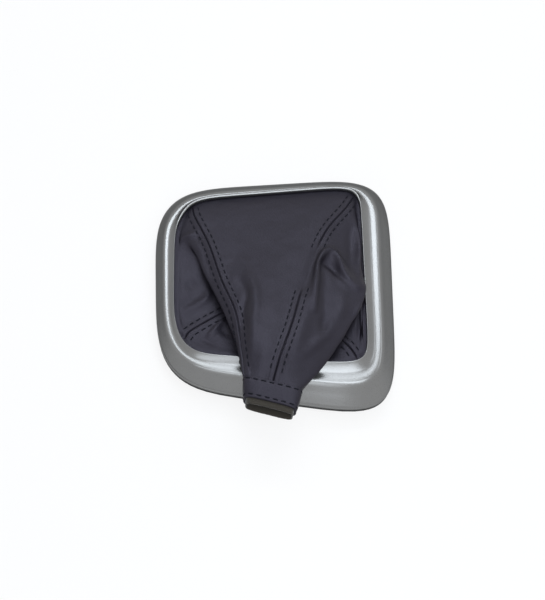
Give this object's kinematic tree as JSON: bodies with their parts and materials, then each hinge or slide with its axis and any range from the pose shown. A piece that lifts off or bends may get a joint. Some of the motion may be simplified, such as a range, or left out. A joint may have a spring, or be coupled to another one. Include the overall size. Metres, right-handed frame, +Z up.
{
  "type": "gear lever gaiter",
  "caption": "Sewn leather gear lever gaiter in a rounded trapezoid trim frame with clip legs below, its sleeve flopped over one rail and ending in a flattened lined collar.",
  "frame": {"origin": "under the middle of the bounding box, on the plane that the clip legs stand on", "axes": "+X toward the thick rail, +Y away from the side that the sleeve hangs over, +Z up out of the trim"},
  "size_m": [0.1514, 0.1794, 0.047],
  "materials": {
    "satin_silver": "satin silver paint on a moulded trim",
    "black_plastic": "moulded, fine matt grain",
    "leather": "soft smooth leather, low sheen",
    "lining": "brown napped back of the leather",
    "thread": "dark blue sewing thread"
  },
  "bodies": {
    "root": {"trim_bezel": "satin_silver", "clip_frame": "black_plastic", "front_panel": "leather", "left_panel": "leather", "rear_panel": "leather", "right_panel": "leather", "collar_band": "leather", "collar_lining": "lining"}
  },
  "joints": []
}
